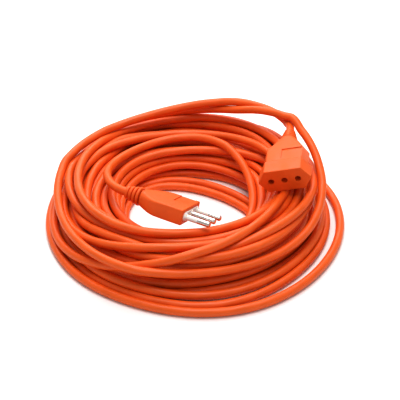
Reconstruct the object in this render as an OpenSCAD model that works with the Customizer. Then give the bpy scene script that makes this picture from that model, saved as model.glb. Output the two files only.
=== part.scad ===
// Orange three-core extension cord, wound in a loose heap of turns,
// with a moulded three-pin in-line plug and a three-hole in-line socket.
// The cord lies on the plane z = 0 and the origin is in the middle of the heap.

/* [Cord] */
// Outer diameter of the round PVC jacket
cord_d = 6; // [5:0.1:8]
// Diameter of one insulated core
core_d = 2.2; // [1.8:0.1:2.4]
// Diameter of the bare copper strands in a core
copper_d = 1.1; // [0.8:0.1:1.4]

/* [Coil] */
// Inner radius of the heap of turns
coil_inner_r = 52; // [40:1:60]
// Outer radius of the heap of turns
coil_outer_r = 106; // [90:1:130]
// Height of the heap
coil_h = 33; // [20:1:34]
// Radius of the rounded inner shoulder of the heap
coil_inner_shoulder = 17; // [8:1:20]
// Radius of the rounded outer shoulder of the heap
coil_outer_shoulder = 21; // [10:1:28]
// How far the heap's foot is set in from its sides
coil_foot = 4; // [1:1:8]

/* [Pins and holes] */
// Distance from one pin or hole to the next
pin_pitch = 9.5; // [8:0.5:13]
// Diameter of a pin's metal
pin_d = 4; // [3.5:0.1:5]
// Length of a pin outside the plug's face
pin_len = 19; // [16:0.5:22]
// How far the shank under a sleeve and in the carrier is thinner, all round
shank_step = 0.5; // [0.3:0.1:0.8]
// Length of a sleeve outside the plug's face
sleeve_len = 10; // [6:0.5:12]
// Length of the crimp barrel behind a pin or a contact
crimp_len = 5; // [4:0.5:7]
// Wall of a crimp barrel
crimp_wall = 0.8; // [0.4:0.1:1.2]
// Room round a pin in a hole of the socket's face
hole_room = 0.25; // [0.1:0.05:0.6]
// Gap left between pieces that are moulded or pressed together
seat_gap = 0.05; // [0.02:0.01:0.1]

/* [Plug] */
// Width of the plug's body beyond the outer pins' centres
plug_side = 5; // [4:0.5:8]
// Thickness of the plug's body
plug_t = 11; // [9:0.5:15]
// Length of the plug's body
plug_len = 37; // [32:1:50]
// Length of the straight part of the body behind the pins
plug_straight = 20; // [14:1:26]
// Length of the strain relief that shows behind the plug's body
plug_relief_len = 12; // [10:1:30]
// Depth of the pin carrier behind the face
carrier_depth = 8; // [6:0.5:10]
// How far the pin carrier stands out of the face
carrier_proud = 0.8; // [0.4:0.1:1.5]
// Width of the pin carrier beyond the outer pins' centres
carrier_margin = 3.2; // [2.6:0.1:3.5]
// Thickness of the pin carrier
carrier_t = 6.4; // [5.6:0.1:7]

/* [Socket] */
// Distance from an outer hole's centre to the tip of the hexagonal face
socket_tip = 9.5; // [8:0.5:13]
// Distance from an outer hole's centre to the end of the face's flat top
socket_top = 3.5; // [3:0.5:6]
// Height of the face
socket_h = 18; // [15:1:22]
// Length of the head behind the face
head_len = 12; // [8:1:16]
// How far the middle of the body is set in from the head
head_step = 1; // [0.5:0.1:2]
// Length of the straight middle of the body
mid_len = 15; // [12:1:20]
// Length of the taper down to the neck
taper_len = 18; // [12:1:24]
// Length of the strain relief that shows behind the socket's taper
socket_relief_len = 11; // [10:1:30]
// Thickness of the front wall that the holes go through
face_wall = 3; // [2:0.5:4]
// Length of the insulated hole in the contact carrier, before the contact
guide_len = 5; // [3:0.5:6]
// Length of a contact tube
contact_len = 15; // [12:0.5:16]
// Room round a pin in a contact tube
contact_room = 0.05; // [0.02:0.01:0.2]
// Wall of a contact tube
contact_tube_wall = 0.75; // [0.5:0.05:1]
// Plastic round a contact tube in its carrier
contact_cover = 1.6; // [1:0.1:1.8]
// Width of the slots that let a contact spring
contact_slot = 0.8; // [0.4:0.1:1.2]

/* [Strain reliefs] */
// Wall of a relief round the cord, at its thin end
relief_tip_wall = 1.5; // [1.2:0.1:3]
// Wall of a relief round the cord, at its connector's body
relief_end_wall = 2.25; // [2:0.05:2.6]
// Wall of the relief's root inside the body
relief_root_wall = 1.75; // [1:0.05:2]
// Wall of a connector's body round the relief's root
body_wall = 0.9; // [0.6:0.1:1.5]
// Number of flexing slots on each side
relief_slots = 3; // [2:1:5]
// Length of the relief's root inside the body
relief_root_len = 8; // [5:1:10]
// Width of a flexing slot
slot_w = 1.1; // [0.8:0.1:1.4]
// Wall left between the cord and the bottom of a slot
slot_floor = 0.8; // [0.5:0.1:1.1]
// Height of the smooth spine left above and below the slots
spine_w = 4; // [3:0.5:6]

/* [Label recess] */
// Depth of the blank recess on top of each connector
recess_depth = 0.6; // [0.3:0.1:1]
// Length of the recess along the connector
recess_len = 11; // [8:1:13]
// Width of the recess across the connector
recess_w = 15; // [10:1:18]

/* [Hidden] */

$fn = 48;
round_fn = 32;  // facets of the circles inside a hull
orange = [0.93, 0.29, 0.1];
white = [0.93, 0.92, 0.88];
nickel = [0.75, 0.73, 0.7];
brass = [0.8, 0.62, 0.3];
copper = [0.8, 0.42, 0.22];
brown = [0.35, 0.18, 0.08];
blue = [0.1, 0.3, 0.75];
green_yellow = [0.55, 0.75, 0.1];

line_side = -1;    // the line pin and hole are on the connector's right
earth_side = 0;
neutral_side = 1;
row_w = 2 * pin_pitch;

// Where the cord enters each connector, and the turn of the connector there:
// [roll about its own length, dip of its face, heading].
coil_centre = [-3, 3, 0];
plug_sink = 2;      // the plug's thin end lies this far down among the top turns
socket_rise = 4;    // the socket's thin end is lifted this far by the cord under it
plug_entry = [-47.5, -17, coil_h + plug_t / 2 - plug_sink];
plug_turn = [-21, 3, -26];
socket_entry = [69, 44.5, coil_h + socket_h / 2 + socket_rise];
socket_turn = [15, 4, -97.5];

// Both connectors are drawn along +X, with the cord's entry at x = 0.
plug_face_x = plug_relief_len + plug_len;
socket_mid_x = socket_relief_len + taper_len;
socket_head_x = socket_mid_x + mid_len;
socket_face_x = socket_head_x + head_len;
crimp_x_plug = plug_face_x - carrier_depth - crimp_len;
carrier_back_x = socket_face_x - face_wall - guide_len - contact_len;
crimp_x_socket = carrier_back_x - crimp_len;

// Sizes that follow from the pins.
plug_w = row_w + 2 * plug_side;
socket_w = row_w + 2 * socket_tip;
socket_top_w = row_w + 2 * socket_top;
shank_d = pin_d - 2 * shank_step;
sleeve_bore = shank_d + 2 * seat_gap;
sleeve_d = pin_d;    // a sleeve is flush with the bare end of its pin
hole_d = pin_d + 2 * hole_room;
contact_bore = pin_d + 2 * contact_room;
contact_d = contact_bore + 2 * contact_tube_wall;
seat_x = plug_face_x + carrier_proud + seat_gap;  // where a pin comes out of its carrier
contact_floor = 2;   // solid back end of a contact tube
nose_fraction = 0.3; // a pin's nose has its two chamfers meet at this share of its length

// Sizes that follow from the cord.
relief_bore = cord_d + 2 * seat_gap;
relief_tip_d = cord_d + 2 * relief_tip_wall;
relief_end_d = cord_d + 2 * relief_end_wall;
relief_root_d = cord_d + 2 * relief_root_wall;
neck_d = relief_end_d + 2;          // a body's neck stands a step proud of its relief
cores_r = core_d / sqrt(3) + seat_gap;  // the three cores lie together in a triangle
pocket_t = 2 * cores_r + core_d + 2 * seat_gap;
crimp_bore = copper_d + 2 * seat_gap;
crimp_d = crimp_bore + 2 * crimp_wall;
crimp_bite = 3;      // length of copper inside a crimp barrel
jacket_end_gap = 1;  // the pocket for the root runs on for this far
pocket_spread = 2.4; // the pocket's width beyond the outer cores' centres
recess_inset = 3;    // from the recess to the plug's face, or to the socket's head
past = 1;            // a cut runs this far past the face that it opens
tube_sides = 10;
core_sides = 8;

// ---------- vectors, placing and sweeping ----------
function unit(v) = v / norm(v);
function turned(a, v) =
    let (x1 = v[0], y1 = v[1] * cos(a[0]) - v[2] * sin(a[0]), z1 = v[1] * sin(a[0]) + v[2] * cos(a[0]))
    let (x2 = x1 * cos(a[1]) + z1 * sin(a[1]), z2 = -x1 * sin(a[1]) + z1 * cos(a[1]))
    [x2 * cos(a[2]) - y1 * sin(a[2]), x2 * sin(a[2]) + y1 * cos(a[2]), z2];
function heading(p, i) =
    i == 0 ? unit(p[1] - p[0])
    : i == len(p) - 1 ? unit(p[i] - p[i - 1])
    : unit(unit(p[i + 1] - p[i]) + unit(p[i] - p[i - 1]));
function ring(c, t, r, sides) =
    let (across = unit(cross(t, [0, 0, 1])), up = cross(across, t))
    [for (k = [0:sides - 1]) c + r * (cos(360 * k / sides) * across + sin(360 * k / sides) * up)];

// A closed tube along the points of a route.
module sweep(p, d, sides) {
    rings = [for (i = [0:len(p) - 1]) each ring(p[i], heading(p, i), d / 2, sides)];
    walls = [
        for (i = [0:len(p) - 2], k = [0:sides - 1])
        let (a = i * sides + k, b = i * sides + (k + 1) % sides)
        each [[a, b, b + sides], [a, b + sides, a + sides]]
    ];
    last = (len(p) - 1) * sides;
    start_cap = [[for (k = [sides - 1:-1:0]) k]];
    end_cap = [[for (k = [0:sides - 1]) last + k]];
    polyhedron(rings, concat(walls, start_cap, end_cap), convexity = 10);
}

module at_plug() {
    translate(plug_entry) rotate(plug_turn) children();
}

module at_socket() {
    translate(socket_entry) rotate(socket_turn) children();
}

// A flat shape in Y and Z, drawn out along +X.
module along_x(length) {
    rotate([90, 0, 90]) linear_extrude(length) children();
}

module rod(d, x0, x1, y = 0) {
    translate([x0, y, 0]) rotate([0, 90, 0]) cylinder(d = d, h = x1 - x0);
}

// ---------- cord ----------
// Points of the stretches that are not in the heap, each at the cord's centre.
// The two loose turns lie on the floor.
plug_lead_route = [
    [-58, -9, 37], [-64, 3, 37], [-65, 16, 37], [-61, 29, 37], [-53, 42, 37], [-42, 55, 37],
    [-32, 65, 37], [-19, 73, 37], [-5, 75, 37], [9, 73, 37], [21, 65, 36.5], [29, 53, 35],
    [35, 41, 33], [39, 28, 31], [42, 14, 29], [43, 0, 27.5], [43, -13, 25.5], [42.5, -25, 23],
    [42, -37, 20],
];
socket_lead_route = [
    [69, 58, 46], [66, 65, 44.5], [60, 71.5, 42], [50, 78, 39.5], [37, 84, 37.5], [23, 88.5, 36.5],
    [8, 91, 36.5], [-7, 92, 36.5], [-22, 90, 36.5], [-36, 86, 36], [-49, 81, 35], [-61, 75, 33],
    [-71, 67, 30],
];
outer_turn_route = [
    [84, 63], [92, 52], [99, 39], [103, 25], [106, 10], [106, -6], [103, -22], [98, -38],
    [90, -53], [80, -67], [69, -80], [56, -91], [41, -100], [25, -105], [9, -107], [-7, -105],
    [-22, -101], [-36, -95], [-49, -88],
];
inner_turn_route = [
    [-54, 33], [-45, 40], [-33, 43], [-20, 42], [-7, 36], [6, 29], [19, 22], [31, 15],
    [42, 6], [50, -5], [55, -18],
];
straight_lead = 5;  // the lead runs straight out of a connector for this far

// A lead starts inside its connector's strain relief, and runs straight out of it.
function entry_route(entry, turn, relief_len, route) =
    let (axis = turned(turn, [1, 0, 0]))
    concat([for (x = [relief_len + relief_root_len, 0, -straight_lead]) entry + x * axis], route);

function on_floor(route) = [for (p = route) [p[0], p[1], cord_d / 2]];

module coil_shape() {
    inner = coil_inner_shoulder;
    outer = coil_outer_shoulder;
    step = 15;
    translate(coil_centre) rotate_extrude($fn = 96) polygon(concat(
        [[coil_inner_r + coil_foot, 0]],
        [for (a = [0:step:90]) [coil_inner_r + inner * (1 - cos(a)), coil_h - inner * (1 - sin(a))]],
        [for (a = [90:-step:0]) [coil_outer_r - outer * (1 - cos(a)), coil_h - outer * (1 - sin(a))]],
        [[coil_outer_r - coil_foot, 0]]
    ));
}

module cord_coil() {
    color(orange) coil_shape();
}

// A stretch of the cord, up to where it lies in the heap.
module stretch(route) {
    color(orange) difference() {
        sweep(route, cord_d, tube_sides);
        coil_shape();
    }
}

module plug_lead() {
    stretch(entry_route(plug_entry, plug_turn, plug_relief_len, plug_lead_route));
}

module socket_lead() {
    stretch(entry_route(socket_entry, socket_turn, socket_relief_len, socket_lead_route));
}

module loose_outer_turn() {
    stretch(on_floor(outer_turn_route));
}

module loose_inner_turn() {
    stretch(on_floor(inner_turn_route));
}

// ---------- what both connectors share ----------
// A tapered sleeve on the cord, with slots on both sides and a spine above and below.
// Its root has flats above and below, and fits in a body of the given thickness.
module strain_relief(shown, body_t) {
    slot_pitch = shown / (relief_slots + 1);
    slot_y = relief_bore / 2 + slot_floor + relief_end_d / 2;
    difference() {
        union() {
            rotate([0, 90, 0]) cylinder(d1 = relief_tip_d, d2 = relief_end_d, h = shown);
            relief_root(shown, relief_root_len, body_t, 0);
        }
        rod(relief_bore, -past, shown + relief_root_len + past);
        for (i = [1:relief_slots], side = [-1, 1])
            translate([i * slot_pitch, side * slot_y, 0])
                cube([slot_w, relief_end_d, 2 * relief_end_d - 2 * spine_w], center = true);
    }
}

module relief_root(x, length, body_t, margin) {
    flat_t = body_t - 2 * body_wall + 2 * margin;
    intersection() {
        rod(relief_root_d + 2 * margin, x, x + length);
        translate([x, -relief_end_d, -flat_t / 2]) cube([length, 2 * relief_end_d, flat_t]);
    }
}

// The space in a body for the relief's root, the cores and the crimps.
module core_pocket(shown, crimp_x, body_t) {
    root_end = shown + relief_root_len;
    neck = cores_r + core_d / 2 + seat_gap;
    wide = row_w / 2 + pocket_spread;
    wide_x = (root_end + crimp_x) / 2;
    relief_root(shown - past, relief_root_len + past + jacket_end_gap, body_t, seat_gap);
    translate([0, 0, -pocket_t / 2]) linear_extrude(pocket_t) polygon([
        [root_end, -neck], [wide_x, -wide], [crimp_x + crimp_len, -wide],
        [crimp_x + crimp_len, wide], [wide_x, wide], [root_end, neck],
    ]);
}

// An insulated core from the end of the jacket to the back of its crimp barrel.
module core(side, shown, crimp_x, c) {
    x0 = shown + relief_root_len + seat_gap;
    x1 = crimp_x - seat_gap;
    corner = 90 - 120 * side;  // the core's corner of the triangle
    y0 = cores_r * cos(corner);
    z0 = cores_r * sin(corner);
    y1 = side * pin_pitch;
    color(c) sweep([
        for (s = [0:0.2:1])
        let (eased = (1 - cos(180 * s)) / 2)
        [x0 + s * (x1 - x0), y0 + (y1 - y0) * eased, z0 * (1 - eased)]
    ], core_d, core_sides);
}

module copper_ends(crimp_x) {
    color(copper) for (side = [line_side, earth_side, neutral_side])
        rod(copper_d, crimp_x - seat_gap, crimp_x + crimp_bite, side * pin_pitch);
}

module crimp_barrel(crimp_x, y) {
    difference() {
        rod(crimp_d, crimp_x, crimp_x + crimp_len, y);
        rod(crimp_bore, crimp_x - past, crimp_x + crimp_bite + seat_gap, y);
    }
}

// ---------- plug ----------
function plug_half(x) =
    let (x0 = plug_relief_len, x1 = plug_face_x - plug_straight, neck = neck_d / 2)
    neck + (plug_w / 2 - neck) * (1 - cos(180 * (x - x0) / (x1 - x0))) / 2;

module plug_body() {
    steps = 8;
    xs = [for (i = [0:steps]) plug_relief_len + i * (plug_len - plug_straight) / steps];
    right = [for (x = xs) [x, -plug_half(x)]];
    left = [for (i = [steps:-1:0]) [xs[i], plug_half(xs[i])]];
    front = [[plug_face_x, -plug_w / 2], [plug_face_x, plug_w / 2]];
    recess_x = plug_face_x - recess_inset - recess_len;
    color(orange) at_plug() difference() {
        translate([0, 0, -plug_t / 2]) linear_extrude(plug_t) polygon(concat(right, front, left));
        translate([plug_face_x - carrier_depth - seat_gap, 0, 0])
            carrier_block(carrier_depth + past, seat_gap);
        core_pocket(plug_relief_len, crimp_x_plug, plug_t);
        translate([recess_x, plug_w / 2 - recess_w, plug_t / 2 - recess_depth])
            cube([recess_len, recess_w + past, recess_depth + past]);
    }
}

module plug_strain_relief() {
    color(orange) at_plug() strain_relief(plug_relief_len, plug_t);
}

module carrier_block(length, margin) {
    half = row_w / 2 + carrier_margin - carrier_t / 2;
    along_x(length) {
        square([2 * half, carrier_t + 2 * margin], center = true);
        for (s = [-1, 1]) translate([s * half, 0]) circle(d = carrier_t + 2 * margin);
    }
}

module plug_pin_carrier() {
    back = plug_face_x - carrier_depth;
    color(white) at_plug() difference() {
        translate([back, 0, 0]) carrier_block(carrier_depth + carrier_proud, 0);
        for (side = [line_side, earth_side, neutral_side])
            rod(sleeve_bore, back - past, seat_x + past, side * pin_pitch);
    }
}

// A turned pin: a thick rounded end on a shank, with its crimp barrel behind.
module pin(side, thick_x) {
    tip_x = plug_face_x + pin_len;
    nose = pin_d / 4;
    y = side * pin_pitch;
    color(nickel) at_plug() {
        translate([0, y, 0]) rotate([0, 90, 0]) rotate_extrude() polygon([
            [0, plug_face_x - carrier_depth], [shank_d / 2, plug_face_x - carrier_depth],
            [shank_d / 2, thick_x], [pin_d / 2, thick_x], [pin_d / 2, tip_x - nose],
            [pin_d / 2 - nose * nose_fraction, tip_x - nose * nose_fraction],
            [pin_d / 2 - nose, tip_x], [0, tip_x],
        ]);
        crimp_barrel(crimp_x_plug, y);
    }
}

module plug_line_pin() {
    pin(line_side, plug_face_x + sleeve_len);
}

module plug_neutral_pin() {
    pin(neutral_side, plug_face_x + sleeve_len);
}

module plug_earth_pin() {
    pin(earth_side, seat_x);
}

module sleeve(side) {
    x1 = plug_face_x + sleeve_len - seat_gap;
    y = side * pin_pitch;
    color(white) at_plug() difference() {
        rod(sleeve_d, seat_x, x1, y);
        rod(sleeve_bore, seat_x - past, x1 + past, y);
    }
}

module plug_line_sleeve() {
    sleeve(line_side);
}

module plug_neutral_sleeve() {
    sleeve(neutral_side);
}

module plug_line_core() {
    at_plug() core(line_side, plug_relief_len, crimp_x_plug, brown);
}

module plug_neutral_core() {
    at_plug() core(neutral_side, plug_relief_len, crimp_x_plug, blue);
}

module plug_earth_core() {
    at_plug() core(earth_side, plug_relief_len, crimp_x_plug, green_yellow);
}

module plug_copper_ends() {
    at_plug() copper_ends(crimp_x_plug);
}

// ---------- socket ----------
module hexagon(inset) {
    w = socket_w / 2 - inset;
    t = socket_top_w / 2 - inset / 2;
    h = socket_h / 2 - inset;
    polygon([[-w, 0], [-t, -h], [t, -h], [w, 0], [t, h], [-t, h]]);
}

module socket_body() {
    mid_h = socket_h - 2 * head_step;
    recess_x = socket_head_x - recess_inset - recess_len;
    sliver = 0.01;  // thickness of the shapes at a hull's ends
    color(orange) at_socket() difference() {
        union() {
            translate([socket_head_x, 0, 0]) along_x(head_len) hexagon(0);
            translate([socket_mid_x, 0, 0]) along_x(mid_len) hexagon(head_step);
            hull() {
                translate([socket_mid_x, 0, 0]) along_x(sliver) hexagon(head_step);
                rod(neck_d, socket_relief_len, socket_relief_len + sliver, $fn = round_fn);
            }
        }
        for (side = [line_side, earth_side, neutral_side])
            rod(hole_d, socket_face_x - face_wall - past, socket_face_x + past, side * pin_pitch);
        translate([carrier_back_x - seat_gap, 0, 0])
            contact_block(socket_face_x - face_wall - carrier_back_x + seat_gap, seat_gap);
        core_pocket(socket_relief_len, crimp_x_socket, mid_h);
        translate([recess_x, socket_top_w / 2 - recess_w, mid_h / 2 - recess_depth])
            cube([recess_len, recess_w + past, recess_depth + past]);
    }
}

module socket_strain_relief() {
    color(orange) at_socket() strain_relief(socket_relief_len, socket_h - 2 * head_step);
}

module contact_block(length, margin) {
    half_w = row_w / 2 + contact_d / 2 + contact_cover + margin;
    half_t = contact_d / 2 + contact_cover + margin;
    along_x(length) square([2 * half_w, 2 * half_t], center = true);
}

module socket_contact_carrier() {
    front = socket_face_x - face_wall - seat_gap;
    guide_x = socket_face_x - face_wall - guide_len;
    color(white) at_socket() difference() {
        translate([carrier_back_x, 0, 0]) contact_block(front - carrier_back_x, 0);
        for (side = [line_side, earth_side, neutral_side]) {
            rod(hole_d, carrier_back_x - past, front + past, side * pin_pitch);
            rod(contact_d + 2 * seat_gap, carrier_back_x - past, guide_x, side * pin_pitch);
        }
    }
}

// A slotted contact tube with its crimp barrel behind.
module contact(side) {
    y = side * pin_pitch;
    end_x = carrier_back_x + contact_len - seat_gap;
    color(brass) at_socket() {
        difference() {
            rod(contact_d, carrier_back_x, end_x, y);
            rod(contact_bore, carrier_back_x + contact_floor, end_x + past, y);
            translate([carrier_back_x + 2 * contact_floor, y - contact_slot / 2, -contact_d])
                cube([contact_len, contact_slot, 2 * contact_d]);
        }
        crimp_barrel(crimp_x_socket, y);
    }
}

module socket_line_contact() {
    contact(line_side);
}

module socket_neutral_contact() {
    contact(neutral_side);
}

module socket_earth_contact() {
    contact(earth_side);
}

module socket_line_core() {
    at_socket() core(line_side, socket_relief_len, crimp_x_socket, brown);
}

module socket_neutral_core() {
    at_socket() core(neutral_side, socket_relief_len, crimp_x_socket, blue);
}

module socket_earth_core() {
    at_socket() core(earth_side, socket_relief_len, crimp_x_socket, green_yellow);
}

module socket_copper_ends() {
    at_socket() copper_ends(crimp_x_socket);
}

cord_coil();
plug_lead();
socket_lead();
loose_outer_turn();
loose_inner_turn();
plug_body();
plug_strain_relief();
plug_pin_carrier();
plug_line_pin();
plug_neutral_pin();
plug_earth_pin();
plug_line_sleeve();
plug_neutral_sleeve();
plug_line_core();
plug_neutral_core();
plug_earth_core();
plug_copper_ends();
socket_body();
socket_strain_relief();
socket_contact_carrier();
socket_line_contact();
socket_neutral_contact();
socket_earth_contact();
socket_line_core();
socket_neutral_core();
socket_earth_core();
socket_copper_ends();
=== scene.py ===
import math

import bmesh
import bpy
import numpy as np
from mathutils import Euler, Matrix, Vector


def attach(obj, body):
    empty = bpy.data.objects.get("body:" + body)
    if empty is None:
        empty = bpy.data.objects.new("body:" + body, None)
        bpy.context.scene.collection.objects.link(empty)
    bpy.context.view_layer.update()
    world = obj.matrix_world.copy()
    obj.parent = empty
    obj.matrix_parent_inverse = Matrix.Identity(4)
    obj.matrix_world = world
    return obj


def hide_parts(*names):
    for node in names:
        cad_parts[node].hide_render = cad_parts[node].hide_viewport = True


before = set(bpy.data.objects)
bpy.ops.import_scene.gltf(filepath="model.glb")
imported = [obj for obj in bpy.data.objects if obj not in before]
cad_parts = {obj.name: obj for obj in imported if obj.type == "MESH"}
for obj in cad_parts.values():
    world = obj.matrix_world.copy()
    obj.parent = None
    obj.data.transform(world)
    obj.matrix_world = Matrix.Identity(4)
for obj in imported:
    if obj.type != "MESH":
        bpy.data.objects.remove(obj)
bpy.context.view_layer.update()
scene = bpy.context.scene

# ---------------------------------------------------------------- camera, floor and light
# The heap is seen from the front and well above, with a long lens, on a white floor that
# has no edge. A wide soft box stands behind it, a smaller one hangs overhead, and white walls
# fill the shadows.
LOOK_AT = Vector((0.003, 0.0238, 0.0))
CAMERA_FALL = math.radians(36)
CAMERA_AWAY = 0.8
FLOOR_SIDE = 6.0

camera = bpy.data.objects.new("camera", bpy.data.cameras.new("camera"))
camera.data.sensor_width = 36
camera.data.lens = 96.84
camera.data.clip_start = 0.01
camera.location = LOOK_AT + CAMERA_AWAY * Vector((0, -math.cos(CAMERA_FALL), math.sin(CAMERA_FALL)))
camera.rotation_euler = (math.pi / 2 - CAMERA_FALL, 0, 0)
scene.collection.objects.link(camera)
scene.camera = camera
scene.view_settings.view_transform = "Standard"
scene.view_settings.gamma = 0.8
scene.view_settings.exposure = 0.3

world = bpy.data.worlds.new("white_walls")
world.use_nodes = True
world.node_tree.nodes["Background"].inputs["Color"].default_value = (1.0, 0.99, 0.98, 1)
world.node_tree.nodes["Background"].inputs["Strength"].default_value = 0.43
scene.world = world


def soft_box(name, place, aim, size, watts):
    """A square soft light at a place, facing the point aim."""
    light = bpy.data.lights.new(name, "AREA")
    light.size = size
    light.energy = watts
    lamp = bpy.data.objects.new(name, light)
    lamp.location = place
    lamp.rotation_euler = (Vector(aim) - Vector(place)).to_track_quat("-Z", "Y").to_euler()
    scene.collection.objects.link(lamp)


soft_box("back_soft_box", (-0.1, 0.95, 0.95), (0, 0.02, 0), 1.2, 11)
soft_box("top_soft_box", (0.05, 0, 1.2), (0, 0.02, 0), 0.6, 6.5)

floor_mesh = bpy.data.meshes.new("floor")
half = FLOOR_SIDE / 2
floor_corners = [(-half, -half, 0), (half, -half, 0), (half, half, 0), (-half, half, 0)]
floor_mesh.from_pydata(floor_corners, [], [(0, 1, 2, 3)])
floor = bpy.data.objects.new("floor", floor_mesh)
scene.collection.objects.link(floor)
floor_paint = bpy.data.materials.new("white_floor")
floor_paint.use_nodes = True
floor_paint.node_tree.nodes["Principled BSDF"].inputs["Base Color"].default_value = (0.93, 0.93, 0.93, 1)
floor_paint.node_tree.nodes["Principled BSDF"].inputs["Roughness"].default_value = 0.9
floor_mesh.materials.append(floor_paint)

# ---------------------------------------------------------------- cord
# A round three-core cord with a soft orange PVC jacket, 6 mm thick, wound by hand in 33 turns,
# each dropped on the ones before. It leaves the plug in a wide bow over the top, dives into
# the heap, and comes out again behind to reach the socket.
CORD_D = 0.006
CORD_R = CORD_D / 2
CORD_SIDES = 16
LINK = 0.0055             # the cord is laid and settled as a chain of links this long
FULL_TURN = 2 * math.pi
RELIEF_ROOT = 0.008       # length of cord held inside a connector's body, past its relief
STRAIGHT = 0.005
PLUG_RELIEF = 0.012
PLUG_FACE = 0.049         # from the cord's entry to the plug's face
SOCKET_RELIEF = 0.011
SOCKET_FACE = 0.056

plug_lead_route = [
    (-0.058, -0.009, 0.037), (-0.064, 0.003, 0.037), (-0.065, 0.016, 0.037), (-0.061, 0.029, 0.037),
    (-0.053, 0.042, 0.037), (-0.042, 0.055, 0.037), (-0.032, 0.065, 0.037), (-0.019, 0.073, 0.037),
    (-0.005, 0.075, 0.037), (0.009, 0.073, 0.037), (0.021, 0.065, 0.0365), (0.029, 0.053, 0.035),
    (0.035, 0.041, 0.033), (0.039, 0.028, 0.031), (0.042, 0.014, 0.029), (0.043, 0.0, 0.0275),
    (0.043, -0.013, 0.0255), (0.0425, -0.025, 0.023), (0.042, -0.037, 0.02),
]
socket_lead_route = [
    (0.069, 0.058, 0.046), (0.066, 0.065, 0.0445), (0.06, 0.0715, 0.042), (0.05, 0.078, 0.0395),
    (0.037, 0.084, 0.0375), (0.023, 0.0885, 0.0365), (0.008, 0.091, 0.0365), (-0.007, 0.092, 0.0365),
    (-0.022, 0.09, 0.0365), (-0.036, 0.086, 0.036), (-0.049, 0.081, 0.035), (-0.061, 0.075, 0.033),
    (-0.071, 0.067, 0.03),
]
outer_turn_route = [
    (0.084, 0.063), (0.092, 0.052), (0.099, 0.039), (0.103, 0.025), (0.106, 0.01), (0.106, -0.006),
    (0.103, -0.022), (0.098, -0.038), (0.09, -0.053), (0.08, -0.067), (0.069, -0.08),
    (0.056, -0.091), (0.041, -0.1), (0.025, -0.105), (0.009, -0.107), (-0.007, -0.105),
    (-0.022, -0.101), (-0.036, -0.095), (-0.049, -0.088),
]
inner_turn_route = [
    (-0.054, 0.033), (-0.045, 0.04), (-0.033, 0.043), (-0.02, 0.042), (-0.007, 0.036),
    (0.006, 0.029), (0.019, 0.022), (0.031, 0.015), (0.042, 0.006), (0.05, -0.005), (0.055, -0.018),
]
# The strand beside each of the loose ones, which lies a little nearer the heap.
outer_second_route = [
    (0.069, -0.06), (0.057, -0.074), (0.042, -0.088), (0.027, -0.098), (0.01, -0.103),
    (-0.008, -0.101), (-0.024, -0.095),
]
inner_second_route = [
    (-0.053, 0.041), (-0.042, 0.048), (-0.031, 0.05), (-0.017, 0.049), (-0.003, 0.045),
    (0.01, 0.0375), (0.023, 0.03), (0.034, 0.023), (0.046, 0.012), (0.054, -0.001),
]


def placed(entry, turns):
    """A connector's own axes: +X out through its face, +Y to neutral, from the cord's entry."""
    axes = Euler([math.radians(t) for t in turns]).to_matrix().to_4x4()
    axes.translation = entry
    return axes


plug_axes = placed((-0.0475, -0.017, 0.0365), (-21, 3, -26))
socket_axes = placed((0.069, 0.0445, 0.046), (15, 4, -97.5))


def lead_points(axes, relief, route):
    """A lead from inside its connector, straight out of the relief, and along its route."""
    held = [axes @ Vector((x, 0, 0)) for x in (relief + RELIEF_ROOT, 0, -STRAIGHT)]
    return np.array([tuple(p) for p in held] + list(route))


def curve_through(points, per_span=8):
    """Points on a smooth curve through the given points."""
    ends = np.vstack([2 * points[0] - points[1], points, 2 * points[-1] - points[-2]])
    t = (np.arange(per_span) / per_span)[:, None]
    spans = []
    for a, b, c, d in zip(ends[:-3], ends[1:-2], ends[2:-1], ends[3:]):
        bend, twist = 2 * a - 5 * b + 4 * c - d, 3 * b - a - 3 * c + d
        spans.append(0.5 * (2 * b + (c - a) * t + bend * t**2 + twist * t**3))
    return np.vstack(spans + [points[-1:]])


def even_links(points, link):
    """The same line, cut into even links."""
    along = np.r_[0, np.cumsum(np.linalg.norm(np.diff(points, axis=0), axis=1))]
    at = np.linspace(0, along[-1], int(round(along[-1] / link)) + 1)
    return np.stack([np.interp(at, along, points[:, k]) for k in range(3)], 1)


# The heap's section: rows of places for the turns that were laid first, as (height, radii).
# These places, the top turns and the spread below are given.
ROWS = [
    (0.003, [0.0545, 0.061, 0.0675, 0.074, 0.0805, 0.087, 0.0935, 0.1]),
    (0.0084, [0.0575, 0.064, 0.0705, 0.077, 0.0835, 0.0905]),
    (0.0138, [0.0545, 0.061, 0.0675, 0.0745, 0.0815]),
    (0.0192, [0.0575, 0.064, 0.071, 0.078]),
    (0.0246, [0.057, 0.0645]),
]
# The row and place of each of those turns, in the order in which the cord runs through them.
VISITS = [
    (3, 0), (2, 0), (1, 0), (0, 0), (0, 1), (1, 1), (2, 1), (3, 1), (3, 2), (2, 2), (1, 2), (0, 2), (0, 3),
    (1, 3), (2, 3), (3, 3), (2, 4), (1, 4), (0, 4), (0, 5), (1, 5), (0, 6), (0, 7), (4, 1), (4, 0),
]
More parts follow.
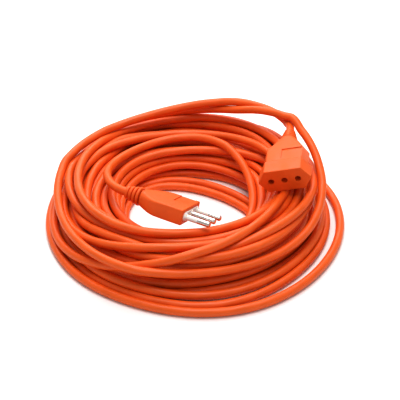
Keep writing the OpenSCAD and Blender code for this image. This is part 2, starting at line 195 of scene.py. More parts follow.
# The turns laid last, which wander over the top: each one's radius in mm, every 30 degrees
# anticlockwise from +X.
TOP_TURNS = [
    [86, 92, 94, 90, 86, 82, 80, 80, 82, 84, 86, 86],
    [80, 84, 88, 84, 77, 73, 74, 78, 84, 90, 90, 84],
    [90, 93, 94, 92, 90, 86, 80, 76, 77, 82, 86, 88],
    [70, 69, 68, 70, 74, 80, 86, 88, 84, 78, 74, 72],
    [74, 78, 84, 88, 90, 88, 84, 78, 72, 69, 69, 71],
    [64, 63, 64, 66, 70, 76, 80, 74, 65, 60, 59, 61],
    [72, 80, 88, 90, 88, 84, 78, 72, 66, 64, 64, 67],
    [63, 74, 84, 90, 92, 91, 95, 97, 96, 90, 80, 68],
]
WANDER = ((1, 0.0010), (2, 0.0014), (3, 0.0010), (5, 0.0004))  # (waves in a turn, size)
INNERMOST, OUTERMOST = 0.0535, 0.1065
# How far the heap spreads, every 30 degrees: it is drawn together at the front right. In 1/1000.
SPREAD = [1130, 1140, 1120, 1080, 1090, 1120, 1150, 1120, 1040, 940, 850, 990]
TOP_HEIGHT = 0.03
PLUG_LEAD_ON_TOP = 0.65   # the share of the plug's lead that lies over the heap
MEAN_TURN_R = 0.078
LAST_TURN_R = 0.097       # where the last turn drifts to, to meet the socket's lead
DRIFT_FROM, DRIFT_OVER = 0.66, 0.34  # shares of a turn
LOOSE_BLEND = 0.32        # the angle over which a loose stretch leaves the heap
JOIN_PASSES, SMOOTH_PASSES = 60, 12
UNSMOOTHED_LINKS = 20     # at each end
OWN_END_LINKS = 16        # at each end, allowed inside a connector
HELD_LINKS = 6            # at each end, held by a connector


def turn_centre(z):
    """The heap leans back: its upper turns lie a little behind and left of its lower ones."""
    up = np.clip((z - CORD_R) / (TOP_HEIGHT - CORD_R), 0, 1)
    return np.stack([-0.001 - 0.004 * up, 0.0075 * up], -1)


def round_table(radii, angle):
    """A smooth radius at any angle, from radii at even steps round the circle."""
    table = np.asarray(radii, float) / 1000
    x = (angle / FULL_TURN * len(table)) % len(table)
    i = np.floor(x).astype(int)
    t = x - i
    a, b, c, d = (table[(i + k) % len(table)] for k in (-1, 0, 1, 2))
    return 0.5 * (2 * b + (c - a) * t + (2 * a - 5 * b + 4 * c - d) * t * t + (3 * b - a - 3 * c + d) * t**3)


def lay_turns():
    """The wound part of the cord as it is laid, from the plug's end to the socket's."""
    rng = np.random.default_rng(3)
    places = [(ROWS[row][1][i], ROWS[row][0]) for row, i in VISITS]
    turns = len(places) + len(TOP_TURNS)
    start = math.atan2(plug_lead_route[-1][1] - 0.003, plug_lead_route[-1][0] + 0.003)
    stop = math.atan2(socket_lead_route[-1][1] - 0.003, socket_lead_route[-1][0] + 0.003)
    total = (start - stop) % FULL_TURN + FULL_TURN * turns
    count = int(total * MEAN_TURN_R / LINK)
    run = np.linspace(0, total, count)
    angle = start - run
    turn = np.floor(run / FULL_TURN).astype(int)
    share = run / FULL_TURN - turn

    def place(of_turn):
        radius, height = np.full(count, LAST_TURN_R), np.full(count, TOP_HEIGHT)
        for q in range(turns):
            on = of_turn == q
            if q < len(places):
                radius[on], height[on] = places[q]
            else:
                radius[on] = round_table(TOP_TURNS[q - len(places)], angle[on])
        return radius, height

    # Each turn drifts to the next one's place over the last third of its way round.
    drift = np.clip((share - DRIFT_FROM) / DRIFT_OVER, 0, 1)
    drift = drift * drift * (3 - 2 * drift)
    (radius, height), (next_radius, next_height) = place(turn), place(turn + 1)
    radius = radius * (1 - drift) + next_radius * drift
    height = height * (1 - drift) + next_height * drift
    for waves, size in WANDER:
        sway = rng.normal(0, size, (2, turns + 4))
        sway = sway[:, turn] * (1 - drift) + sway[:, turn + 1] * drift
        radius += sway[0] * np.cos(waves * angle) + sway[1] * np.sin(waves * angle)
    radius = INNERMOST + (radius - INNERMOST) * round_table(SPREAD, angle)
    radius = np.clip(radius, INNERMOST, OUTERMOST)
    centre = turn_centre(height)

    # Four stretches near the floor lie away from the heap, on their own routes.
    foot = turn_centre(np.array(CORD_R))
    loose = ((3, inner_turn_route), (4, inner_second_route), (22, outer_turn_route), (21, outer_second_route))
    for q, route in loose:
        away = np.array(route) - foot
        at = np.unwrap(np.arctan2(away[:, 1], away[:, 0]))[::-1]
        out = np.hypot(away[:, 0], away[:, 1])[::-1]
        middle = (at[0] + at[-1]) / 2
        passes = np.round((middle - start) / FULL_TURN + q + 0.3)
        here = angle + FULL_TURN * passes
        blend = np.clip(np.minimum(here - at[0], at[-1] - here) / LOOSE_BLEND + 0.5, 0, 1)
        blend = blend * blend * (3 - 2 * blend)
        radius = radius * (1 - blend) + np.interp(here, at, out) * blend
        height = height * (1 - blend) + CORD_R * blend
        centre = centre * (1 - blend)[:, None] + foot * blend[:, None]
    heading = np.stack([np.cos(angle), np.sin(angle)], 1)
    return np.c_[centre + radius[:, None] * heading, height], turn >= len(places)


def drop_on(points, stretches, links=60):
    """Lift each late stretch, in the order it was laid, on to whatever lies under it.

    Stretches are (first link, last link, whether it keeps its own height where that is more)."""
    height = points[:, 2].copy()
    laid = np.ones(len(points), bool)
    for first, last, _ in stretches:
        laid[first:last] = False
    parts = [
        (i, min(i + links, last), keeps)
        for first, last, keeps in stretches for i in range(first, last, links)
    ]
    for first, last, keeps in parts:
        under = np.where(laid)[0]
        under = under[(under < first - 3) | (under > last + 3)]
        apart = ((points[first:last, None, :2] - points[None, under, :2]) ** 2).sum(2)
        lift = height[under] + np.sqrt(np.maximum(CORD_D**2 - apart, 0))
        least = height[first:last] if keeps else CORD_R
        support = np.maximum(np.where(apart < CORD_D**2, lift, CORD_R).max(1), least)
        line = support.copy()
        before = height[first - 1] if laid[first - 1] else line[0]
        for _ in range(60):
            beside = np.r_[before, line[:-1]] + np.r_[line[1:], line[-1]]
            line = np.maximum(support, 0.5 * line + 0.25 * beside)
        height[first:last] = line
        laid[first:last] = True
    return np.c_[points[:, :2], height]


def stiffen(points, free):
    """Even out sharp changes of bend, as a stiff cord does, over short and longer lengths."""
    for gap, share in ((1, 0.8), (2, 0.7), (4, 0.5)):
        n = len(points) - 4 * gap
        a, b, c, d, e = (points[k * gap:k * gap + n] for k in range(5))
        change = np.zeros_like(points)
        change[2 * gap:-2 * gap] = -(a - 4 * b + 6 * c - 4 * d + e) / 16
        points = points + change * (share * free)[:, None]
    return points


def connector_blocks():
    """Boxes inside the plug and the socket, each as (turn, origin, low corner, high corner)."""
    sizes = {
        "plug": [(0, 0.012, 0.0055, 0.0055), (0.012, 0.029, 0.011, 0.0055), (0.029, 0.049, 0.0145, 0.0055),
                 (0.049, 0.068, 0.0115, 0.002)],
        "socket": [(0, 0.011, 0.0055, 0.0055), (0.011, 0.029, 0.012, 0.0075), (0.029, 0.056, 0.013, 0.009),
                   (0.029, 0.056, 0.0175, 0.003)],
    }
    for name, axes in (("plug", plug_axes), ("socket", socket_axes)):
        turn, origin = np.array(axes.to_3x3()), np.array(axes.translation)
        for x0, x1, y, z in sizes[name]:
            yield turn, origin, np.array([x0, -y, -z]) - CORD_R, np.array([x1, y, z]) + CORD_R


def settle(points, held, rounds=260, fall=0.0001, keep=0.03):
    """Let the laid cord sink under its weight until its strands lie on each other."""
    laid = points.copy()
    n = len(points)
    free = np.where(held, 0.0, 1.0)
    blocks = list(connector_blocks())
    own = np.zeros(n, bool)  # the cord's own ends, which belong in the connectors
    own[:OWN_END_LINKS] = own[-OWN_END_LINKS:] = True
    reach = CORD_D + LINK / 2 + 0.003
    for i in range(rounds):
        points[:, 2] -= fall * free * (1.0 if i < 0.45 * rounds else 0.4 if i < 0.85 * rounds else 0.1)
        points[:, :2] += (laid[:, :2] - points[:, :2]) * (keep * free)[:, None]
        points = stiffen(points, free)
        if i % 12 == 0:  # which links may touch which
            ends, middles = points.astype(np.float32), ((points[1:] + points[:-1]) / 2).astype(np.float32)
            square = (ends**2).sum(1)[:, None] + (middles**2).sum(1)[None] - 2 * ends @ middles.T
            one, other = np.where(square < reach**2)
            apart = np.abs(one - other - 0.5) > 3
            one, other = one[apart], other[apart]
        for _ in range(2 if i < 0.85 * rounds else 4):  # push touching strands apart
            a, b, p = points[other], points[other + 1], points[one]
            ab = b - a
            t = np.clip(((p - a) * ab).sum(1) / (ab**2).sum(1), 0, 1)
            gap = p - a - ab * t[:, None]
            length = np.sqrt((gap**2).sum(1)) + 1e-9
            hit = length < CORD_D
            u, v, t = one[hit], other[hit], t[hit]
            weight = [free[u], free[v] * (1 - t), free[v + 1] * t]
            total = weight[0] + weight[1] * (1 - t) + weight[2] * t + 1e-9
            push = gap[hit] / length[hit][:, None] * ((CORD_D - length[hit]) / total)[:, None]
            touches = sum(np.bincount(w, minlength=n) for w in (u, v, v + 1))
            move = np.stack([
                np.bincount(u, push[:, k] * weight[0], n) - np.bincount(v, push[:, k] * weight[1], n)
                - np.bincount(v + 1, push[:, k] * weight[2], n) for k in range(3)
            ], 1)
            points = points + move * (1.6 / np.maximum(touches, 1.6))[:, None]
        for first in (0, 1):  # keep every link its length
            s = np.arange(first, n - 1, 2)
            link = points[s + 1] - points[s]
            length = np.linalg.norm(link, axis=1)
            slack = (length - LINK) / length / (free[s] + free[s + 1] + 1e-9) * 0.5
            points[s] += link * (slack * free[s])[:, None]
            points[s + 1] -= link * (slack * free[s + 1])[:, None]
        for turn, origin, low, high in blocks:  # nothing lies inside a connector
            local = (points - origin) @ turn
            inside = ((local > low) & (local < high)).all(1) & ~own
            local[:, 2] = low[2]
            points[inside] = local[inside] @ turn.T + origin
        points[:, 2] = np.maximum(points[:, 2], CORD_R)
    return points


plug_lead = even_links(curve_through(lead_points(plug_axes, PLUG_RELIEF, plug_lead_route)), LINK)
socket_lead = curve_through(lead_points(socket_axes, SOCKET_RELIEF, socket_lead_route))
socket_lead = even_links(socket_lead, LINK)[::-1]
wound, on_top = lay_turns()
chain = np.vstack([plug_lead, wound, socket_lead])
wound_from, wound_to = len(plug_lead), len(chain) - len(socket_lead)
joins = ((wound_from - 6, wound_from + 25), (wound_to - 25, wound_to + 6))
for _ in range(JOIN_PASSES):
    for a, b in joins:
        chain[a:b] = 0.5 * chain[a:b] + 0.25 * (chain[a - 1:b - 1] + chain[a + 1:b + 1])
top_starts, lead_starts = wound_from + np.argmax(on_top), wound_to - 6
n = UNSMOOTHED_LINKS
for _ in range(SMOOTH_PASSES):
    chain[n:-n] = 0.5 * chain[n:-n] + 0.25 * (chain[n - 1:-n - 1] + chain[n + 1:-n + 1])
along = np.r_[0, np.cumsum(np.linalg.norm(np.diff(chain, axis=0), axis=1))]
chain = even_links(chain, LINK)
top_starts, lead_starts = int(along[top_starts] / LINK), int(along[lead_starts] / LINK)
held = np.zeros(len(chain), bool)
held[:HELD_LINKS] = held[-HELD_LINKS:] = True
# The top turns fall on the heap first, then both leads are laid over them.
stretches = [
    (top_starts, lead_starts, False), (10, int(PLUG_LEAD_ON_TOP * len(plug_lead)), True),
    (lead_starts, len(chain) - 12, True),
]
settled = settle(drop_on(chain, stretches), held)
path = curve_through(settled, 2)


def cord_mesh(name, line, radius, sides):
    """A round cord along a line: even rings that do not twist, closed at both ends."""
    ahead = np.gradient(line, axis=0)
    ahead /= np.linalg.norm(ahead, axis=1)[:, None]
    side = np.zeros_like(line)
    last = np.cross(ahead[0], (0, 0, 1.0))
    for i, t in enumerate(ahead):
        last = last - t * last.dot(t)
        last /= np.linalg.norm(last)
        side[i] = last
    up = np.cross(ahead, side)
    turn = np.arange(sides) * FULL_TURN / sides
    rings = line[:, None] + radius * (
        np.cos(turn)[None, :, None] * side[:, None] + np.sin(turn)[None, :, None] * up[:, None]
    )
    n = len(line)
    i, j = np.meshgrid(np.arange(n - 1), np.arange(sides), indexing="ij")
    k = (j + 1) % sides
    quads = np.stack([i * sides + j, i * sides + k, (i + 1) * sides + k, (i + 1) * sides + j], -1)
    mesh = bpy.data.meshes.new(name)
    ends = [list(range(sides - 1, -1, -1)), list(range((n - 1) * sides, n * sides))]
    mesh.from_pydata(rings.reshape(-1, 3), [], quads.reshape(-1, 4).tolist() + ends)
    along = np.r_[0, np.cumsum(np.linalg.norm(np.diff(line, axis=0), axis=1))]
    around = FULL_TURN * radius / sides
    corners = np.stack([
        np.stack([along[i], j * around], -1), np.stack([along[i], (j + 1) * around], -1),
        np.stack([along[i + 1], (j + 1) * around], -1), np.stack([along[i + 1], j * around], -1),
    ], 2).reshape(-1, 2)
    lengths = mesh.uv_layers.new(name="lengths")  # metres along and around the cord
    lengths.data.foreach_set("uv", np.r_[corners.ravel(), np.zeros(4 * sides)].astype(np.float32))
    mesh.shade_smooth()
    return mesh


def plastic_grain():
    """Shared look of soft plastic: slightly uneven colour and shine, and a fine skin."""
    group = bpy.data.node_groups.new("plastic_grain", "ShaderNodeTree")
    face = group.interface
    for name, kind in (("Coordinates", "NodeSocketVector"), ("Colour", "NodeSocketColor"),
                       ("Roughness", "NodeSocketFloat"), ("Skin Height", "NodeSocketFloat"),
                       ("Marks", "NodeSocketFloat")):
        face.new_socket(name=name, in_out="INPUT", socket_type=kind)
    for name, kind in (("Colour", "NodeSocketColor"), ("Roughness", "NodeSocketFloat"),
                       ("Normal", "NodeSocketVector")):
        face.new_socket(name=name, in_out="OUTPUT", socket_type=kind)
    nodes, wire = group.nodes, group.links.new
    given, made = nodes.new("NodeGroupInput"), nodes.new("NodeGroupOutput")
    patches, skin = nodes.new("ShaderNodeTexNoise"), nodes.new("ShaderNodeTexNoise")
    patches.inputs["Scale"].default_value = 90
    patches.inputs["Detail"].default_value = 4
    skin.inputs["Scale"].default_value = 2600
    skin.inputs["Detail"].default_value = 2
    wire(given.outputs["Coordinates"], patches.inputs["Vector"])
    wire(given.outputs["Coordinates"], skin.inputs["Vector"])
    shade, shine = nodes.new("ShaderNodeMapRange"), nodes.new("ShaderNodeMapRange")
    for node, low, high in ((shade, 0.93, 1.05), (shine, -0.07, 0.09)):
        node.inputs["From Min"].default_value = 0.3
        node.inputs["From Max"].default_value = 0.7
        node.inputs["To Min"].default_value = low
        node.inputs["To Max"].default_value = high
        wire(patches.outputs["Fac"], node.inputs["Value"])
    tint = nodes.new("ShaderNodeHueSaturation")
    wire(given.outputs["Colour"], tint.inputs["Color"])
    wire(shade.outputs["Result"], tint.inputs["Value"])
    wire(tint.outputs["Color"], made.inputs["Colour"])
    rough = nodes.new("ShaderNodeMath")
    wire(given.outputs["Roughness"], rough.inputs[0])
    wire(shine.outputs["Result"], rough.inputs[1])
    wire(rough.outputs["Value"], made.inputs["Roughness"])
    high = nodes.new("ShaderNodeMath")
    high.operation = "MULTIPLY_ADD"
    wire(skin.outputs["Fac"], high.inputs[0])
    wire(given.outputs["Skin Height"], high.inputs[1])
    wire(given.outputs["Marks"], high.inputs[2])
    bump = nodes.new("ShaderNodeBump")
    bump.inputs["Distance"].default_value = 1
    wire(high.outputs["Value"], bump.inputs["Height"])
    wire(bump.outputs["Normal"], made.inputs["Normal"])
    return group


grain = plastic_grain()


def plastic(name, colour, roughness, skin_height):
    """A plastic with the shared grain. Returns the material, its grain node and its Principled."""
    paint = bpy.data.materials.new(name)
    paint.use_nodes = True
    nodes, wire = paint.node_tree.nodes, paint.node_tree.links.new
    surface = nodes["Principled BSDF"]
    look = nodes.new("ShaderNodeGroup")
    look.node_tree = grain
    place = nodes.new("ShaderNodeTexCoord")
    wire(place.outputs["Object"], look.inputs["Coordinates"])
    look.inputs["Colour"].default_value = (*colour, 1)
    look.inputs["Roughness"].default_value = roughness
    look.inputs["Skin Height"].default_value = skin_height
    wire(look.outputs["Colour"], surface.inputs["Base Color"])
    wire(look.outputs["Roughness"], surface.inputs["Roughness"])
    wire(look.outputs["Normal"], surface.inputs["Normal"])
    return paint, look, surface


ORANGE = (0.84, 0.135, 0.01)
jacket_paint, jacket_look, jacket_surface = plastic("orange_jacket", ORANGE, 0.42, 0.00002)
jacket_surface.inputs["IOR"].default_value = 1.5
nodes, wire = jacket_paint.node_tree.nodes, jacket_paint.node_tree.links.new
# The three twisted cores show very faintly through the jacket.
CORES, CORE_TWIST, CORE_SHOWS = 3, 0.07, 0.00004
lengths = nodes.new("ShaderNodeUVMap")
lengths.uv_map = "lengths"
split = nodes.new("ShaderNodeSeparateXYZ")
wire(lengths.outputs["UV"], split.inputs["Vector"])
along_turns, around_turns = nodes.new("ShaderNodeMath"), nodes.new("ShaderNodeMath")
along_turns.operation = around_turns.operation = "MULTIPLY"
along_turns.inputs[1].default_value = CORES * FULL_TURN / CORE_TWIST
around_turns.inputs[1].default_value = CORES / CORD_R
wire(split.outputs["X"], along_turns.inputs[0])
wire(split.outputs["Y"], around_turns.inputs[0])
phase, wave, ripple = (nodes.new("ShaderNodeMath") for _ in range(3))
wire(along_turns.outputs["Value"], phase.inputs[0])
wire(around_turns.outputs["Value"], phase.inputs[1])
wave.operation = "SINE"
wire(phase.outputs["Value"], wave.inputs[0])
ripple.operation = "MULTIPLY"
ripple.inputs[1].default_value = CORE_SHOWS
wire(wave.outputs["Value"], ripple.inputs[0])
wire(ripple.outputs["Value"], jacket_look.inputs["Marks"])

cord = bpy.data.objects.new("extension_cord", cord_mesh("extension_cord", path, CORD_R, CORD_SIDES))
cord.data.materials.append(jacket_paint)
scene.collection.objects.link(cord)
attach(cord, "root")
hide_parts("cord_coil", "plug_lead", "socket_lead", "loose_outer_turn", "loose_inner_turn")

# ---------------------------------------------------------------- plug body
# A flat handle of soft orange PVC, moulded round the cord's end and the pin carrier. Its
# sides swell out of the neck and run straight to the face; a blank label recess lies on top.
PLUG_W, PLUG_T = 0.029, 0.011
NECK_R = 0.00625
NECK_HALF_T, NECK_CORNER = 0.0056, 0.0046
PLUG_STRAIGHT_X = 0.029
CRISP_FROM, CRISP_OVER = 0.013, 0.026  # the stretch along which the edges sharpen
CRISP_CORNER = 0.0009
EDGE = 0.0004
LABEL_DEPTH = 0.0006


def rounded(corners, radius, steps=8):
    """An outline with rounded corners, with the same count of points at every corner."""
    points = []
    for i, corner in enumerate(corners):
        corner = Vector(corner)
        back = (Vector(corners[i - 1]) - corner).normalized()
        on = (Vector(corners[(i + 1) % len(corners)]) - corner).normalized()
        half = back.angle(on) / 2
        middle = corner + (back + on).normalized() * (radius / math.sin(half))
        first = corner + back * (radius / math.tan(half)) - middle
        for k in range(steps + 1):
            turned = first.copy()
            turned.rotate(Matrix.Rotation((math.pi - 2 * half) * k / steps, 2))
            points.append(middle + turned)
    return points


def loft(sections, bore=False):
    """A closed solid through outlines at rising x; with a bore it returns to its first one."""
    shape = bmesh.new()
    rings = [[shape.verts.new((x, y, z)) for y, z in points] for x, points in sections]
    pairs = list(zip(rings, rings[1:]))
    if bore:
        pairs.append((rings[-1], rings[0]))
    else:
        shape.faces.new(rings[0])
        shape.faces.new(rings[-1])
    for a, b in pairs:
        for i in range(len(a)):
            shape.faces.new((a[i - 1], a[i], b[i], b[i - 1]))
    bmesh.ops.recalc_face_normals(shape, faces=shape.faces)
    return shape


def block(x0, x1, y0, y1, z0, z1, radius=0.0002):
    """A box with slightly rounded long edges, as a loft."""
    corners = [(y1, z1), (y0, z1), (y0, z0), (y1, z0)]
    return loft([(x, rounded(corners, radius, 4)) for x in (x0, x1)])


def circle(radius, y=0, sides=32):
    """A round outline."""
    turn = [FULL_TURN * k / sides for k in range(sides)]
    return [(y + radius * math.cos(a), radius * math.sin(a)) for a in turn]


def barrel(x0, x1, radius, y=0):
    """A round rod along x."""
    return loft([(x0, circle(radius, y)), (x1, circle(radius, y))])


def solid(name, shape):
    """Turns a shape into an object."""
    mesh = bpy.data.meshes.new(name)
    shape.to_mesh(mesh)
    shape.free()
    made = bpy.data.objects.new(name, mesh)
    scene.collection.objects.link(made)
    return made


def baked(piece):
    """The piece with its modifiers worked into its mesh."""
    bpy.context.view_layer.update()
    mesh = bpy.data.meshes.new_from_object(piece.evaluated_get(bpy.context.evaluated_depsgraph_get()))
    piece.modifiers.clear()
    piece.data = mesh


def cut(piece, *shapes, edge=0.0):
    """Cuts shapes out of a piece, then softens its edges."""
    tools = [solid("cutter", shape) for shape in shapes]
    for tool in tools:
        knife = piece.modifiers.new("cut", "BOOLEAN")
        knife.operation = "DIFFERENCE"
        knife.solver = "EXACT"
        knife.object = tool
    if edge:
        soften = piece.modifiers.new("edges", "BEVEL")
        soften.width = edge
        soften.segments = 2
        soften.limit_method = "ANGLE"
        soften.angle_limit = math.radians(50)
        soften.use_clamp_overlap = True
    baked(piece)
    for tool in tools:
        bpy.data.objects.remove(tool)


def finished(piece, axes, paint, slot, *nodes, crease=32):
    """Puts a piece in its connector's place, with its material and its part in the frame."""
    piece.data.transform(axes)
    piece.data.materials.clear()
    piece.data.materials.append(paint)
    piece.data.shade_smooth()
    piece.data.set_sharp_from_angle(angle=math.radians(crease))
    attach(piece, "root")
    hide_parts(*nodes)


moulding_paint = plastic("orange_moulding", ORANGE, 0.5, 0.00004)[0]


def plug_section(x):
    """The plug's outline at x: round at the neck, flat and wide with crisp edges ahead."""
    t = min(max((x - PLUG_RELIEF) / (PLUG_STRAIGHT_X - PLUG_RELIEF), 0), 1)
    swell = math.sin(t * math.pi / 2) ** 1.25
    w = NECK_R + (PLUG_W / 2 - NECK_R) * swell
    h = NECK_HALF_T + (PLUG_T / 2 - NECK_HALF_T) * swell
    crisp = min(max((x - CRISP_FROM) / CRISP_OVER, 0), 1)
    radius = NECK_CORNER + (CRISP_CORNER - NECK_CORNER) * (1 - (1 - crisp) ** 2)
    return w, h, radius


def plug_outline(x, inset=0.0):
    w, h, radius = plug_section(x)
    w, h = w - inset, h - inset
    return x, rounded([(w, h), (-w, h), (-w, -h), (w, -h)], radius)


face = PLUG_FACE
steps = [PLUG_RELIEF + i * 0.0012 for i in range(1, 24)] + [0.0424, 0.0455, face - EDGE]
sections = [plug_outline(PLUG_RELIEF, 0.0009), plug_outline(PLUG_RELIEF + 0.0004, 0.0002)]
sections += [plug_outline(x) for x in steps] + [(face, plug_outline(face, EDGE)[1])]
plug_body = solid("plug_moulding", loft(sections))
cut(
    plug_body,  # the label recess, the carrier's seat, two pockets for the cores, the relief's root
    block(0.035, 0.046, -0.0005, 0.02, PLUG_T / 2 - LABEL_DEPTH, 0.01, 0.00005),
    block(0.041, 0.055, -0.01275, 0.01275, -0.00325, 0.00325, 0.003),
    block(0.0265, 0.0415, -0.0118, 0.0118, -0.0034, 0.0034),
    block(0.0195, 0.027, -0.0065, 0.0065, -0.0034, 0.0034),
    barrel(0.01, 0.02, 0.00475),
)
finished(plug_body, plug_axes, moulding_paint, "orange_moulding", "plug_body")

# ---------------------------------------------------------------- strain reliefs
# Short flexible sleeves of the same soft PVC, moulded with each body: a thin tube round the
# cord with a row of ribs, joined by a spine along the top and one along the bottom.
RIBS = 4
RIB_PITCH = 0.003


def rib_shape(thickness):
    """One rib of 1 mm outer radius, to be scaled: a ring with a full round rim."""
    section = []
    for k in range(9):
        a = math.pi * k / 8
        section.append((thickness / 2 * -math.cos(a), 1 - 0.12 * (1 - math.sin(a))))
    section += [(thickness / 2, 0.62), (-thickness / 2, 0.62)]
    return loft([(x, circle(0.001 * r, sides=48)) for x, r in section], bore=True)


def rib_row():
    """Sets a row of ribs of growing size on a sleeve."""
    tree = bpy.data.node_groups.new("rib_row", "GeometryNodeTree")
    tree.is_modifier = True
    for name, kind in (("Sleeve", "Geometry"), ("Rib", "Object"), ("Count", "Int"), ("First", "Float"),
                       ("Pitch", "Float"), ("Tip Radius", "Float"), ("End Radius", "Float"),
                       ("Material", "Material")):
        tree.interface.new_socket(name=name, in_out="INPUT", socket_type="NodeSocket" + kind)
    tree.interface.new_socket(name="Relief", in_out="OUTPUT", socket_type="NodeSocketGeometry")
    nodes, wire = tree.nodes, tree.links.new
    given, made = nodes.new("NodeGroupInput"), nodes.new("NodeGroupOutput")
    rib = nodes.new("GeometryNodeObjectInfo")
    rib.inputs["As Instance"].default_value = True
    wire(given.outputs["Rib"], rib.inputs["Object"])
    first, pitch = nodes.new("ShaderNodeCombineXYZ"), nodes.new("ShaderNodeCombineXYZ")
    wire(given.outputs["First"], first.inputs["X"])
    wire(given.outputs["Pitch"], pitch.inputs["X"])
    row = nodes.new("GeometryNodeMeshLine")
    wire(given.outputs["Count"], row.inputs["Count"])
    wire(first.outputs["Vector"], row.inputs["Start Location"])
    wire(pitch.outputs["Vector"], row.inputs["Offset"])
    last = nodes.new("ShaderNodeMath")
    last.operation = "SUBTRACT"
    last.inputs[1].default_value = 1
    wire(given.outputs["Count"], last.inputs[0])
    size = nodes.new("ShaderNodeMapRange")
    wire(nodes.new("GeometryNodeInputIndex").outputs["Index"], size.inputs["Value"])
    wire(last.outputs["Value"], size.inputs["From Max"])
    wire(given.outputs["Tip Radius"], size.inputs["To Min"])
    wire(given.outputs["End Radius"], size.inputs["To Max"])
    scale = nodes.new("ShaderNodeCombineXYZ")
    scale.inputs["X"].default_value = 1
    wire(size.outputs["Result"], scale.inputs["Y"])
    wire(size.outputs["Result"], scale.inputs["Z"])
    ribs = nodes.new("GeometryNodeInstanceOnPoints")
    wire(row.outputs["Mesh"], ribs.inputs["Points"])
    wire(rib.outputs["Geometry"], ribs.inputs["Instance"])
    wire(scale.outputs["Vector"], ribs.inputs["Scale"])
    both, real = nodes.new("GeometryNodeJoinGeometry"), nodes.new("GeometryNodeRealizeInstances")
    paint = nodes.new("GeometryNodeSetMaterial")
    wire(ribs.outputs["Instances"], both.inputs["Geometry"])
    wire(given.outputs["Sleeve"], both.inputs["Geometry"])
    wire(both.outputs["Geometry"], real.inputs["Geometry"])
    wire(real.outputs["Geometry"], paint.inputs["Geometry"])
    wire(given.outputs["Material"], paint.inputs["Material"])
    wire(paint.outputs["Geometry"], made.inputs["Relief"])
    return tree


rib_tree = rib_row()


def strain_relief(name, end_x, tip_r, end_r, spine, rib_thickness, rib_tip, rib_end, axes, node):
    """A sleeve with its spines, and its row of ribs; radii in mm."""
    def outline_at(share, r):
        top = 0.96 * (rib_tip + (rib_end - rib_tip) * share) / 1000
        points = []
        for k in range(64):
            a = FULL_TURN * k / 64
            y, z = math.cos(a), math.sin(a)
            on_spine = min(max((spine - abs(y)) / 0.12 + 0.5, 0), 1)
            points.append(((r + (top - r) * on_spine) * y, (r + (top - r) * on_spine) * z))
        return points

    bore, root_r = 0.00305, 0.0047
    hole, root = circle(bore, sides=64), circle(root_r, sides=64)
    root_end = end_x + RELIEF_ROOT - 0.0002
    outside = []
    for share in (0, 0.25, 0.5, 0.75, 1):
        outside.append((share * end_x, outline_at(share, (tip_r + (end_r - tip_r) * share) / 1000)))
    outside += [(end_x + 0.0001, root), (root_end, root), (root_end, hole)]
    sleeve = solid(name, loft(outside + [(0, hole)], bore=True))
    rib = solid("rib", rib_shape(rib_thickness))
    row = sleeve.modifiers.new("ribs", "NODES")
    row.node_group = rib_tree
    values = {"Rib": rib, "Count": RIBS, "First": rib_thickness / 2 + 0.0001, "Pitch": RIB_PITCH,
              "Tip Radius": rib_tip, "End Radius": rib_end, "Material": moulding_paint}
    for item in rib_tree.interface.items_tree:
        if item.name in values:
            row[item.identifier] = values[item.name]
    baked(sleeve)
    bpy.data.objects.remove(rib)
    finished(sleeve, axes, moulding_paint, "orange_moulding", node, crease=50)
    return sleeve


plug_relief = strain_relief(
    "plug_relief", PLUG_RELIEF, 3.5, 3.8, 0.2, 0.0021, 4.8, 6.7, plug_axes, "plug_strain_relief")

# ---------------------------------------------------------------- plug pins and carrier
# A hard white carrier holds the three nickel-plated pins in a line, 9.5 mm apart. Each pin
# leaves it through a low collar, and white sleeves cover the outer two for half their length.
PIN_PITCH = 0.0095
white_paint, _, white_surface = plastic("white_plastic", (0.86, 0.84, 0.8), 0.35, 0.00001)
white_surface.inputs["Subsurface Weight"].default_value = 0.35
white_surface.inputs["Subsurface Radius"].default_value = (0.002, 0.0015, 0.001)
carrier_outline = [(0.0127, 0.0032), (-0.0127, 0.0032), (-0.0127, -0.0032), (0.0127, -0.0032)]
shape = loft([
    (0.0411, rounded(carrier_outline, 0.003)), (0.0495, rounded(carrier_outline, 0.003)),
    (0.0498, rounded([(y * 0.98, z * 0.92) for y, z in carrier_outline], 0.0028)),
])
for side in (-1, 0, 1):
    collar = barrel(0.0497, 0.0505, 0.0027, side * PIN_PITCH)
    spare = bpy.data.meshes.new("collar")
    collar.to_mesh(spare)
    collar.free()
    shape.from_mesh(spare)
    bpy.data.meshes.remove(spare)
carrier = solid("pin_carrier", shape)
finished(carrier, plug_axes, white_paint, "white_plastic", "plug_pin_carrier")


def metal(name, colour, roughness, streaks):
    """A metal with fine drawn streaks in its shine and a slightly uneven tone."""
    paint = bpy.data.materials.new(name)
    paint.use_nodes = True
    nodes, wire = paint.node_tree.nodes, paint.node_tree.links.new
    surface = nodes["Principled BSDF"]
    surface.inputs["Metallic"].default_value = 1
    place, noise = nodes.new("ShaderNodeTexCoord"), nodes.new("ShaderNodeTexNoise")
    noise.inputs["Scale"].default_value = streaks
    noise.inputs["Detail"].default_value = 3
    wire(place.outputs["Object"], noise.inputs["Vector"])
    shine, tone = nodes.new("ShaderNodeMapRange"), nodes.new("ShaderNodeMix")
    shine.inputs["To Min"].default_value = roughness - 0.04
    shine.inputs["To Max"].default_value = roughness + 0.05
    wire(noise.outputs["Fac"], shine.inputs["Value"])
    wire(shine.outputs["Result"], surface.inputs["Roughness"])
    tone.data_type = "RGBA"
    tone.inputs["A"].default_value = (*[c * 0.93 for c in colour], 1)
    tone.inputs["B"].default_value = (*colour, 1)
    wire(noise.outputs["Fac"], tone.inputs["Factor"])
    wire(tone.outputs["Result"], surface.inputs["Base Color"])
    return paint


def repaint(paint, *names):
    """Gives CAD nodes that stay in view their material."""
    for name in names:
        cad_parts[name].data.materials.clear()
        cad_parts[name].data.materials.append(paint)


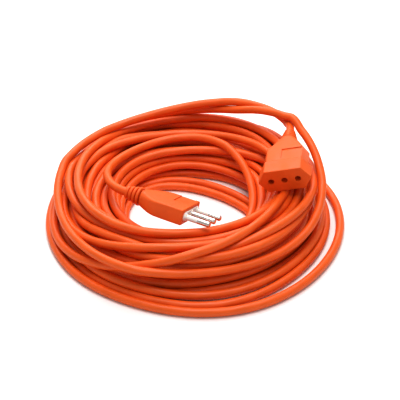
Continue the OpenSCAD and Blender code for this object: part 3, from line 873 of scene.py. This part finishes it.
nickel = metal("nickel_plate", (0.78, 0.75, 0.71), 0.24, 250)
repaint(nickel, "plug_line_pin", "plug_neutral_pin", "plug_earth_pin")
repaint(white_paint, "plug_line_sleeve", "plug_neutral_sleeve")

# ---------------------------------------------------------------- socket body
# The other end's handle, of the same moulded PVC: a six-sided head with three round holes, a
# slightly smaller middle with a blank recess on top, and a straight taper to the neck.
HEAD_X, MID_X = 0.044, 0.029
HEAD = (0.019, 0.013, 0.009, 0.0007)  # half widths at the tips and the top, half height, corner
HOLE_R, HOLE_DEPTH = 0.0022, 0.0085


def six_sides(tip, top, half_height, radius):
    h = half_height
    return rounded([(tip, 0), (top, h), (-top, h), (-tip, 0), (-top, -h), (top, -h)], radius, 6)


def taper(share):
    """The six sides at a share of the way from the round neck to the middle."""
    r = NECK_R
    near = (r / math.cos(math.pi / 6), r * math.tan(math.pi / 6), r, r * 0.95)
    far = (0.0164, 0.0125, 0.0084, 0.0011)
    return [a + (b - a) * share for a, b in zip(near, far)]


near = taper(0)
sections = [(SOCKET_RELIEF, six_sides(near[0] - 0.001, near[1] - 0.0005, near[2] - 0.0008, near[3] - 0.0008))]
taper_from = SOCKET_RELIEF + 0.0006
for k in range(7):
    sections.append((taper_from + (MID_X - taper_from) * k / 6, six_sides(*taper(k / 6))))
sections += [
    (HEAD_X - 0.0008, six_sides(*taper(1))), (HEAD_X, six_sides(0.0187, 0.01285, 0.0088, 0.0007)),
    (HEAD_X + 0.0003, six_sides(*HEAD)),
    (SOCKET_FACE - EDGE, six_sides(*HEAD)),
    (SOCKET_FACE, six_sides(0.0186, 0.0128, 0.0087, 0.0005)),
]
socket_body = solid("socket_moulding", loft(sections))
contact_places = [side * PIN_PITCH for side in (-1, 0, 1)]
cut(
    socket_body,  # the recess, the holes, two pockets for what is inside, the relief's root
    block(0.0305, 0.0415, -0.002, 0.02, 0.0078, 0.02, 0.00005),
    *(barrel(SOCKET_FACE - HOLE_DEPTH, SOCKET_FACE + 0.01, HOLE_R, y) for y in contact_places),
    block(0.0305, SOCKET_FACE - 0.008, -0.0132, 0.0132, -0.0045, 0.0045, 0.001),
    block(0.0195, 0.031, -0.0075, 0.0075, -0.0045, 0.0045),
    barrel(0.009, 0.02, 0.00475),
)
finished(socket_body, socket_axes, moulding_paint, "orange_moulding", "socket_body")
strain_relief(
    "socket_relief", SOCKET_RELIEF, 3.3, 4.2, 0.32, 0.0018, 4.2, 6.3, socket_axes, "socket_strain_relief")

# ---------------------------------------------------------------- inside the mouldings
# Hidden parts of both ends: brass contact tubes in a white carrier behind the socket's holes,
# the brown, blue and green-and-yellow cores, and their bared copper ends in the crimps.
brass = metal("contact_brass", (0.78, 0.57, 0.26), 0.35, 700)
repaint(brass, "socket_line_contact", "socket_neutral_contact", "socket_earth_contact")
repaint(metal("copper_strands", (0.86, 0.42, 0.25), 0.4, 1500), "plug_copper_ends", "socket_copper_ends")
repaint(plastic("brown_core", (0.11, 0.04, 0.02), 0.45, 0.00001)[0], "plug_line_core", "socket_line_core")
repaint(plastic("blue_core", (0.03, 0.12, 0.5), 0.45, 0.00001)[0], "plug_neutral_core", "socket_neutral_core")
earth_paint, earth_look, _ = plastic("earth_core", (0.1, 0.4, 0.05), 0.45, 0.00001)
nodes, wire = earth_paint.node_tree.nodes, earth_paint.node_tree.links.new
place, bands, stripes = (nodes.new("ShaderNode" + kind) for kind in ("TexCoord", "TexWave", "ValToRGB"))
bands.inputs["Scale"].default_value = 90
wire(place.outputs["Object"], bands.inputs["Vector"])
wire(bands.outputs["Fac"], stripes.inputs["Fac"])
stripes.color_ramp.interpolation = "CONSTANT"
stripes.color_ramp.elements[0].color = (0.1, 0.4, 0.05, 1)
stripes.color_ramp.elements[1].color = (0.85, 0.65, 0.03, 1)
stripes.color_ramp.elements[1].position = 0.5
wire(stripes.outputs["Color"], earth_look.inputs["Colour"])
repaint(earth_paint, "plug_earth_core", "socket_earth_core")
repaint(white_paint, "socket_contact_carrier")
